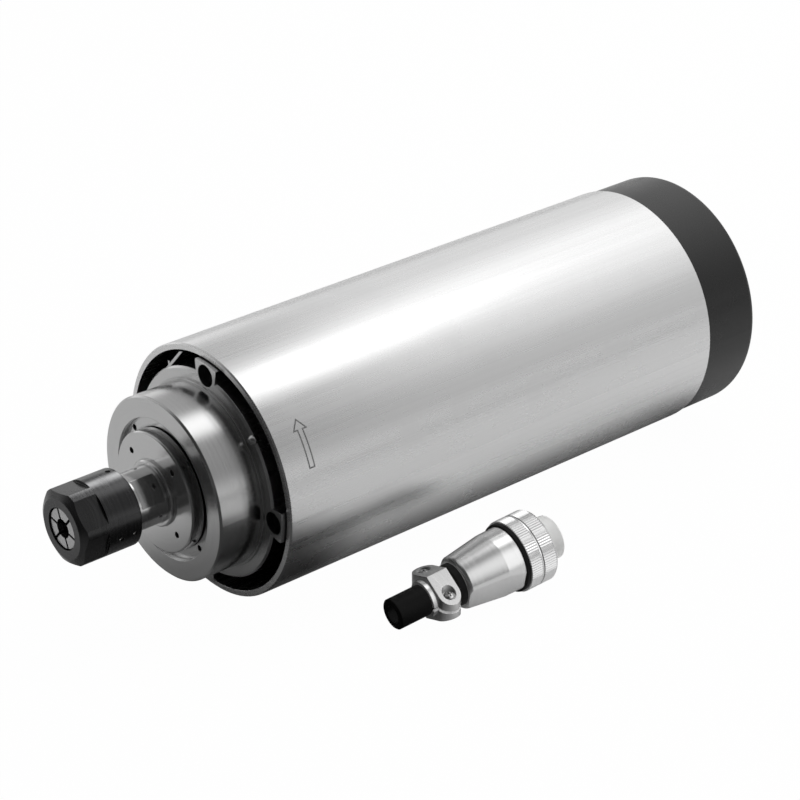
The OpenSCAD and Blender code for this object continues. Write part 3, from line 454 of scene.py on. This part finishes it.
def knurled_nickel():
    """The same plate on the knurled rings, darkened between the teeth with grime and painted shade."""
    # The near-black corner colour paints shade into the gaps between the teeth.
    return bare_metal("knurled nickel plate", colour=grey(0.80), stain_and_shade=grey(0.012), smooth=0.14, rough=0.2,
                      marks=even_skin(0.3 * mm), depth=0.002 * mm, edge=0.06 * mm, corner_reach=0.9 * mm)


def screw_nickel_plate():
    return bare_metal("nickel plated screws", colour=grey(0.66), stain_and_shade=grey(0.07), smooth=0.16, rough=0.26,
                      marks=even_skin(0.3 * mm), depth=0.008 * mm)


def contact_plate():
    return bare_metal("plated contacts", colour=(0.83, 0.68, 0.38), stain_and_shade=(0.30, 0.22, 0.10),
                      smooth=0.14, rough=0.26, marks=plug_rings(0.1 * mm), depth=0.004 * mm)


def black_screws():
    return bare_metal("black oxide screws", colour=(0.09, 0.09, 0.095), stain_and_shade=grey(0.03),
                      smooth=0.32, rough=0.45, marks=even_skin(0.3 * mm), depth=0.02 * mm)


def blackened_nut():
    """Black oxide over turned steel, with bare metal along its worn edges."""
    material, n, surface = finish("black oxide nut", metallic=1.0)
    where = n.place()
    marks = spindle_rings(0.12 * mm)(n, where)
    touch = n.effect(handling_marks, Place=where, Size=8 * mm)
    edges = n.effect(worn_edges, Place=where, Radius=0.2 * mm)
    oxide = n.mixed(marks["Tone"], (0.062, 0.062, 0.063), (0.078, 0.078, 0.079))
    bare = n.maths("MULTIPLY", edges["Edge"], 0.45)
    n.put(surface["Base Color"], n.mixed(bare, oxide, (0.36, 0.36, 0.35)))
    sheen = n.maths("ADD", 0.2, n.maths("MULTIPLY", touch["Smudge"], 0.08))
    n.put(surface["Roughness"], n.maths("ADD", sheen, n.maths("MULTIPLY", marks["Tone"], 0.06)))
    n.put(surface["Normal"], n.bump(marks["Height"], 0.0015 * mm, edges["Normal"]))
    return material


def wound_copper():
    """Enamelled wire, wound round and tied, so that single turns can be made out."""
    material, n, surface = finish("enamelled copper", metallic=1.0, coat=0.6)
    where = n.place()
    strands = spindle_rings(0.6 * mm)(n, where)
    touch = n.effect(handling_marks, Place=where, Size=6 * mm)
    n.put(surface["Base Color"], n.mixed(strands["Tone"], (0.45, 0.16, 0.06), (0.72, 0.33, 0.16)))
    n.put(surface["Roughness"], n.maths("ADD", 0.25, n.maths("MULTIPLY", touch["Smudge"], 0.15)))
    n.put(surface["Normal"], n.bump(strands["Height"], 0.3 * mm))
    return material


def channel_painted_shade():
    """The motor body's skin in the air channel, near black as painted shade of the deep channel."""
    # The near-black colour is painted shade for the deep air channel.
    return moulded("near-black channel body, painted shade", colour=grey(0.006), worn=grey(0.03), rough=0.5,
                   grain=0.5 * mm, depth=0.01 * mm, specular=0.2)


def satin_cap():
    return moulded("satin black cap", colour=grey(0.006), worn=grey(0.04), rough=0.28,
                   grain=0.5 * mm, depth=0.008 * mm)


def fan_nylon():
    return moulded("fan nylon", colour=(0.028, 0.028, 0.029), worn=grey(0.06), rough=0.38,
                   grain=0.6 * mm, depth=0.03 * mm)


def soft_rubber():
    return moulded("moulded rubber", colour=grey(0.004), worn=grey(0.012), rough=0.46,
                   grain=0.3 * mm, depth=0.01 * mm, specular=0.12)


def white_insert():
    return moulded("white insert", colour=(0.93, 0.93, 0.92), worn=(0.95, 0.95, 0.94), rough=0.36,
                   grain=0.5 * mm, depth=0.01 * mm)


def cage_phenolic():
    return moulded("phenolic cage", colour=(0.42, 0.24, 0.10), worn=(0.50, 0.32, 0.16), rough=0.5,
                   grain=0.3 * mm, depth=0.04 * mm)


def lead_silicone():
    return moulded("silicone sleeve", colour=grey(0.020), worn=grey(0.05), rough=0.42,
                   grain=0.3 * mm, depth=0.03 * mm)


finishes = {
    "casing_steel": ground_casing(),
    "machined_steel": turned_steel(),
    "collet_steel": ground_collet(),
    "bearing_steel": bearing_chrome(),
    "cast_aluminium": motor_casting(),
    "lamination": sheet_laminations(),
    "nickel": bright_nickel(),
    "screw_nickel": screw_nickel_plate(),
    "contact_brass": contact_plate(),
    "screw_steel": black_screws(),
    "black_oxide": blackened_nut(),
    "copper": wound_copper(),
    "dark_aluminium": channel_painted_shade(),
    "cap_plastic": satin_cap(),
    "fan_plastic": fan_nylon(),
    "boot_rubber": soft_rubber(),
    "insert_plastic": white_insert(),
    "cage_resin": cage_phenolic(),
    "lead_sleeve": lead_silicone(),
}


def dress_nodes():
    """Each CAD node's own slot says which finish it gets, but for a few pieces worked another way."""
    knurled = knurled_nickel()
    own = {"front_bearing_housing": turned_boss(), "spindle_shaft": ground_shaft(),
           "plug_lock_ring": knurled, "plug_coupling_ring": knurled}
    for subpart in frame["record"]["subparts"]:
        node = subpart["node"]
        for slot in frame["nodes"][node].material_slots:
            slot.material = own.get(node, finishes[subpart["material_slot"]])


dress_nodes()


# Small pieces that only the scene has

def loft(bm, loops):
    """Faces between rings of points, each ring as long as the one before."""
    for here, ahead in zip(loops, loops[1:]):
        for a in range(len(here)):
            b = (a + 1) % len(here)
            bm.faces.new((here[a], here[b], ahead[b], ahead[a]))


def closed_loft(bm, loops):
    """A loft with a face on each end."""
    loft(bm, loops)
    bm.faces.new(loops[0])
    bm.faces.new(loops[-1])


def small_piece(bm, name, material, body):
    """A finished mesh as a piece of its own that rides on a body."""
    bmesh.ops.recalc_face_normals(bm, faces=bm.faces)
    mesh = bpy.data.meshes.new(name)
    bm.to_mesh(mesh)
    bm.free()
    mesh.materials.append(material)
    piece = bpy.data.objects.new(name, mesh)
    bpy.context.scene.collection.objects.link(piece)
    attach(piece, body)
    return piece


# The etched arrow that shows which way the spindle turns

casing_low, casing_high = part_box("outer_casing")
casing_radius = (casing_high.x - casing_low.x) / 2
arrow_tail = math.radians(20.0)
arrow_length = casing_radius * math.radians(21.9)
arrow_middle = 10.1 * mm
arrow_head_length = 3.7 * mm
arrow_head_width = 5.3 * mm
arrow_shaft_width = 2.2 * mm
arrow_line = 0.42 * mm
arrow_step = 0.6 * mm
etch_rise = 0.012 * mm
etch_sink = 0.02 * mm


def arrow_corners():
    """The arrow's corners, as length along it and distance to the side."""
    neck = arrow_length - arrow_head_length
    shaft = arrow_shaft_width / 2
    head = arrow_head_width / 2
    corners = ((0, -shaft), (neck, -shaft), (neck, -head), (arrow_length, 0), (neck, head), (neck, shaft),
               (0, shaft))
    return [Vector(corner) for corner in corners]


def inside_line(corners, width):
    """The same corners, each moved inwards so that the line between has one width all round."""
    moved = []
    for i, corner in enumerate(corners):
        before = (corner - corners[i - 1]).normalized()
        after = (corners[(i + 1) % len(corners)] - corner).normalized()
        left, right = Vector((-before.y, before.x)), Vector((-after.y, after.x))
        moved.append(corner + (left + right) * (width / (1 + left.dot(right))))
    return moved


def on_casing(point, radius):
    """A flat point of the arrow, laid round the casing at a radius."""
    angle = arrow_tail + point.x / casing_radius
    return Vector((radius * math.cos(angle), arrow_middle + point.y, radius * math.sin(angle)))


def etched_arrow():
    """A thin raised line, bent round the casing, that follows the arrow's outline."""
    outer = arrow_corners()
    inner = inside_line(outer, arrow_line)
    high, low = casing_radius + etch_rise, casing_radius - etch_sink
    bm = bmesh.new()
    loops = []
    for i in range(len(outer)):
        j = (i + 1) % len(outer)
        steps = max(1, math.ceil((outer[j] - outer[i]).length / arrow_step))
        for k in range(steps):
            out, within = outer[i].lerp(outer[j], k / steps), inner[i].lerp(inner[j], k / steps)
            section = ((out, low), (out, high), (within, high), (within, low))
            loops.append([bm.verts.new(on_casing(point, radius)) for point, radius in section])
    loft(bm, loops + loops[:1])
    return small_piece(bm, "turning_arrow", etched_mark(), "housing")


etched_arrow()


# The bright drill points at the bottom of the nut's balance holes, each hole given by its distance in
# millimetres from the nut's back face and its turn in degrees

nut_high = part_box("collet_nut")[1]
drill_holes = ((2.4, 97.0), (7.4, -15.0), (2.6, -14.0))
drill_radius = 0.77 * mm
drill_floor = nut_high.x - 1.19 * mm
drill_rim = 0.6 * mm
drill_point = 0.15 * mm
drill_tip = drill_radius * 0.05
drill_sides = 24


def drill_points():
    """A shallow bright cone in each hole, open towards the outside."""
    turns = [2 * math.pi * k / drill_sides for k in range(drill_sides)]
    bm = bmesh.new()
    for back, degrees in drill_holes:
        angle = math.radians(degrees)
        out = Vector((math.cos(angle), 0, math.sin(angle)))
        across = out.cross(spindle_axis)
        rays = [spindle_axis * math.cos(turn) + across * math.sin(turn) for turn in turns]
        loops = []
        for radius, rise in ((drill_radius, 0), (drill_radius, drill_rim), (drill_tip, drill_point)):
            middle = out * (drill_floor + rise) + spindle_axis * (nut_high.y - back * mm)
            loops.append([bm.verts.new(middle + ray * radius) for ray in rays])
        closed_loft(bm, loops)
    return small_piece(bm, "drill_points", finishes["bearing_steel"], "nut")


# The clamp's two screws, with domed heads in their deep recesses

boot_end = Vector((56.6, 24.1, -33.03)) * mm
clamp_from_boot_end = 16.1 * mm
plug_side = plug_axis.cross(Vector((0, 0, 1))).normalized()
plug_rise = plug_side.cross(plug_axis)
clamp_lean = math.radians(-8.0)
clamp_across = plug_side * math.cos(clamp_lean) + plug_rise * math.sin(clamp_lean)
clamp_up = plug_rise * math.cos(clamp_lean) - plug_side * math.sin(clamp_lean)
clamp_middle = boot_end + plug_axis * clamp_from_boot_end
screw_pitch = 6.2 * mm
screw_seat = 3.16 * mm
screw_head_radius = 1.6 * mm
screw_head_edge = 0.55 * mm
screw_dome = 0.7 * mm
screw_shank_radius = 1.0 * mm
cross_reach = 0.95 * mm
cross_width = 0.24 * mm
cross_depth = 0.6 * mm
screw_sides = 96
dome_rings = 24
dome_first_ring = 0.4


def head_height(u, v):
    """How high the domed head stands at a place, lower inside the cross."""
    share = (u * u + v * v) / (screw_head_radius * screw_head_radius)
    in_cross = min(abs(u), abs(v)) < cross_width and max(abs(u), abs(v)) < cross_reach
    return screw_seat + screw_head_edge + screw_dome * (1 - share) - (cross_depth if in_cross else 0)


def screw_ring(bm, middle, radius, height=None):
    """One ring of a screw, at one height or on the domed head."""
    ring = []
    for k in range(screw_sides):
        turn = 2 * math.pi * (k + 0.5) / screw_sides
        u, v = radius * math.cos(turn), radius * math.sin(turn)
        rise = head_height(u, v) if height is None else height
        ring.append(bm.verts.new(middle + clamp_across * u + plug_axis * v + clamp_up * rise))
    return ring


def domed_screws():
    """Two screws with a cross in each head, in place of the plain ones."""
    ring_step = screw_head_radius / (dome_rings + dome_first_ring)
    bm = bmesh.new()
    for side in (-1, 1):
        middle = clamp_middle + clamp_across * side * screw_pitch
        loops = [screw_ring(bm, middle, ring_step * (k + dome_first_ring)) for k in range(dome_rings + 1)]
        for radius, height in ((screw_head_radius, screw_seat), (screw_shank_radius, screw_seat),
                               (screw_shank_radius, -screw_seat)):
            loops.append(screw_ring(bm, middle, radius, height))
        closed_loft(bm, loops)
    screws = small_piece(bm, "domed_clamp_screws", finishes["screw_nickel"], "plug")
    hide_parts("clamp_screws")
    return screws


def pieces_of(*bodies):
    """The CAD pieces of these bodies."""
    return [frame["nodes"][node] for body in bodies for node in frame["record"]["behaviour"]["bodies"][body]]


nut_pieces = pieces_of("nut") + [drill_points()]
plug_pieces = pieces_of("plug", "coupling_ring") + [domed_screws()]


# The studio's floor, with lengths in metres and tones as shares of white

floor_half = 6.0
floor_tone = 0.86
floor_mottle = 0.03
floor_roughness = 0.9
floor_specks_per_metre = 400.0
floor_white = 0.97
view_share = 0.985
mirror_share = 0.1

# The side where the room is dim and the floor's colour is darkened as painted shade, in front of the nose and to
# its right
dim_side = Vector((0.5, -0.866, 0))
painted_shade_floor_tone = 0.12
painted_shade_floor_edge = (0.07, 0.2)

# Painted shadow in the floor's colour beside the nose and under the casing, which the camera itself doesn't see
painted_shadow_tone = 0.08
painted_shadow_right_of = (0.0, 0.03)
painted_shadow_in_front_of = (0.02, 0.06)
painted_shadow_under = (0.02, 0.05)
painted_shadow_under_share = 0.6


def studio_sheet(name, finish_name, points, faces):
    """A sheet of the studio with a material of its own, and the tree to build its surface in."""
    mesh = bpy.data.meshes.new(name)
    mesh.from_pydata(points, [], faces)
    sheet = bpy.data.objects.new(name, mesh)
    bpy.context.scene.collection.objects.link(sheet)
    material = bpy.data.materials.new(finish_name)
    material.use_nodes = True
    mesh.materials.append(material)
    return sheet, Nodes(material.node_tree)


def seen_as_white(n, mirrored):
    """How white the background is to a ray: fully to the camera, and by a share in metal and glass."""
    path = n.add("ShaderNodeLightPath").outputs
    mirrors = n.maths("ADD", path["Is Glossy Ray"], path["Is Transmission Ray"])
    return n.maths("ADD", path["Is Camera Ray"], n.maths("MULTIPLY", mirrors, mirrored))


def floor():
    """A wide pale floor with painted shadow and painted shade in its colour, white to the camera but for a trace
    of the part's shadow.
    """
    low = cad_box[0].z
    corners = [(-floor_half, -floor_half, low), (floor_half, -floor_half, low),
               (floor_half, floor_half, low), (-floor_half, floor_half, low)]
    n = studio_sheet("floor", "pale floor", corners, [(0, 1, 2, 3)])[1]
    shader = n.tree.nodes["Principled BSDF"]
    shader.inputs["Roughness"].default_value = floor_roughness
    where = n.place()
    specks = n.noise(where, scale=floor_specks_per_metre)
    pale = n.mixed(specks, grey(floor_tone * (1 - floor_mottle)), grey(floor_tone * (1 + floor_mottle)))
    parts = n.parts(where)
    # Painted shade: the floor's colour darkens towards the dim side.
    front = n.between(n.vector("DOT_PRODUCT", where, dim_side), *painted_shade_floor_edge)
    # Painted shadow: the floor's colour darkens beside the nose and under the casing.
    beside = n.maths("MULTIPLY", n.between(parts["X"], *painted_shadow_right_of),
                     n.between(parts["Y"], *painted_shadow_in_front_of, 1.0, 0.0))
    under = n.between(n.maths("ABSOLUTE", parts["X"]), *painted_shadow_under, painted_shadow_under_share, 0.0)
    painted_shadow = n.maths("MAXIMUM", beside, under)
    paper = n.mixed(painted_shadow, n.mixed(front, pale, grey(painted_shade_floor_tone)), grey(painted_shadow_tone))
    lit = n.maths("SUBTRACT", 1.0, n.maths("MAXIMUM", front, painted_shadow))
    background = seen_as_white(n, n.maths("MULTIPLY", lit, mirror_share))
    n.put(shader.inputs["Base Color"], n.mixed(background, paper, grey(floor_white)))
    n.show(n.maths("MULTIPLY", background, view_share), shader.outputs[0], n.glow(1.0))


# The room's light, by height over the horizon, from left to right, and towards the dim side

room_heights = (0.08, 0.4)
room_height_light = (0.68, 0.32)
room_across = (-0.7, 0.2)
room_across_light = (1.5, 1.0)
room_dim_edge = (0.15, 0.45)
room_dim_light = 0.13


def room():
    """A soft room, pale at the horizon, dim on one side, and white to the camera."""
    world = bpy.data.worlds.new("room")
    bpy.context.scene.world = world
    world.use_nodes = True
    n = Nodes(world.node_tree)
    direction = n.add("ShaderNodeTexCoord").outputs["Generated"]
    parts = n.parts(direction)
    height = n.between(parts["Z"], *room_heights, *room_height_light)
    side = n.between(parts["X"], *room_across, *room_across_light)
    shade = n.between(n.vector("DOT_PRODUCT", direction, dim_side), *room_dim_edge, 1.0, room_dim_light)
    glow = n.maths("MULTIPLY", n.maths("MULTIPLY", height, side), shade)
    background = seen_as_white(n, n.maths("MULTIPLY", shade, mirror_share))
    back = world.node_tree.nodes["Background"].inputs
    n.put(back["Strength"], n.maths("MAXIMUM", background, glow))
    n.put(back["Color"], white)


# The lit cloth, with lengths in metres and turns in degrees round the spindle's axis, from its right

vault_radius = 0.5
vault_front = 0.31
vault_back = 0.95
vault_first = 4.0
vault_last = 176.0
vault_steps = 48
vault_soft_front = 0.04
vault_soft_side = (4.0, 22.0)
vault_right = (10.0, 95.0)
vault_right_light = (0.52, 1.18)
vault_left = (108.0, 150.0)
vault_left_light = (1.0, 0.7)


def light_vault():
    """A lit cloth arched behind the casing, brightest overhead, soft at its front and right edges."""
    points = []
    for k in range(vault_steps + 1):
        angle = math.radians(vault_first + (vault_last - vault_first) * k / vault_steps)
        for y in (vault_front, vault_back):
            points.append((vault_radius * math.cos(angle), y, vault_radius * math.sin(angle)))
    faces = [(2 * k, 2 * k + 1, 2 * k + 3, 2 * k + 2) for k in range(vault_steps)]
    vault, n = studio_sheet("light_vault", "lit cloth", points, faces)
    parts = n.parts(n.place())
    turn = n.maths("DIVIDE", n.maths("ARCTAN2", parts["Z"], parts["X"]), math.radians(1))
    right = n.between(turn, *vault_right, *vault_right_light)
    left = n.between(turn, *vault_left, *vault_left_light)
    clear = n.add("ShaderNodeBsdfTransparent").outputs[0]
    cover = n.maths("MULTIPLY", n.between(parts["Y"], vault_front, vault_front + vault_soft_front),
                    n.between(turn, *vault_soft_side))
    n.show(cover, clear, n.glow(n.maths("MULTIPLY", right, left)))
    vault.visible_camera = False
    vault.visible_shadow = False


# Lamps, each fading out from its middle to its edges, in a measure where its width is 1

lamp_middle = (0.5, 0.5, 0)
lamp_fade = (0.5, 0.12)


def softbox(name, place, aim, size, radiance, in_metal=True, pieces=()):
    """A lamp with a soft edge that looks at a place. Where pieces are given, it lights only them."""
    lamp = bpy.data.lights.new(name, "AREA")
    lamp.shape = "RECTANGLE"
    lamp.size, lamp.size_y = size
    lamp.energy = radiance * math.pi * size[0] * size[1]
    lamp.use_nodes = True
    n = Nodes(lamp.node_tree)
    face = n.vector("SUBTRACT", n.add("ShaderNodeNewGeometry").outputs["Parametric"], lamp_middle)
    strength = n.between(n.vector("LENGTH", face), *lamp_fade)
    n.put(lamp.node_tree.nodes["Emission"].inputs["Strength"], strength)
    stand = bpy.data.objects.new(name, lamp)
    stand.location = place
    stand.rotation_euler = (Vector(place) - Vector(aim)).to_track_quat("Z", "Y").to_euler()
    stand.visible_camera = False
    stand.visible_glossy = in_metal
    bpy.context.scene.collection.objects.link(stand)
    if pieces:
        lit = bpy.data.collections.new(name)
        for piece in pieces:
            lit.objects.link(piece)
        stand.light_linking.receiver_collection = lit


def keep_out_of_mirrors(pieces):
    """The loose plug doesn't show in the casing, as in the photograph."""
    for piece in pieces:
        piece.visible_glossy = False


floor()
room()
light_vault()
keep_out_of_mirrors(plug_pieces)
softbox("softbox over the plug", place=(0.42, 0.22, 0.24), aim=(0.06, 0.03, -0.03), size=(0.8, 0.8),
        radiance=0.75, pieces=plug_pieces)
softbox("softbox over the nose", place=(0, 0.25, 0.45), aim=(0, 0.02, 0), size=(0.4, 0.3), radiance=1.35)
softbox("softbox over the nut", place=(-0.3, 0.3, 0.38), aim=(0, -0.03, 0), size=(0.4, 0.4),
        radiance=8.5, pieces=nut_pieces)
softbox("overhead softbox", place=(0.1, 0.1, 1.3), aim=(0.05, 0.08, 0), size=(2.0, 2.0), radiance=1.3,
        in_metal=False)


# Camera, at the angle of the photograph

camera_azimuth = math.radians(49.85)
camera_elevation = math.radians(28.16)
camera_place = Vector((552.11, -390.98, 384.86)) * mm
focal_pixels = 2600.3
frame_pixels = 800
sensor = 36.0


def camera():
    lens = bpy.data.cameras.new("camera")
    lens.sensor_width = sensor
    lens.lens = focal_pixels / frame_pixels * sensor
    stand = bpy.data.objects.new("camera", lens)
    stand.location = camera_place
    stand.rotation_euler = (math.radians(90) - camera_elevation, 0, camera_azimuth)
    bpy.context.scene.collection.objects.link(stand)
    bpy.context.scene.camera = stand


camera()
bpy.context.scene.view_settings.view_transform = "Standard"
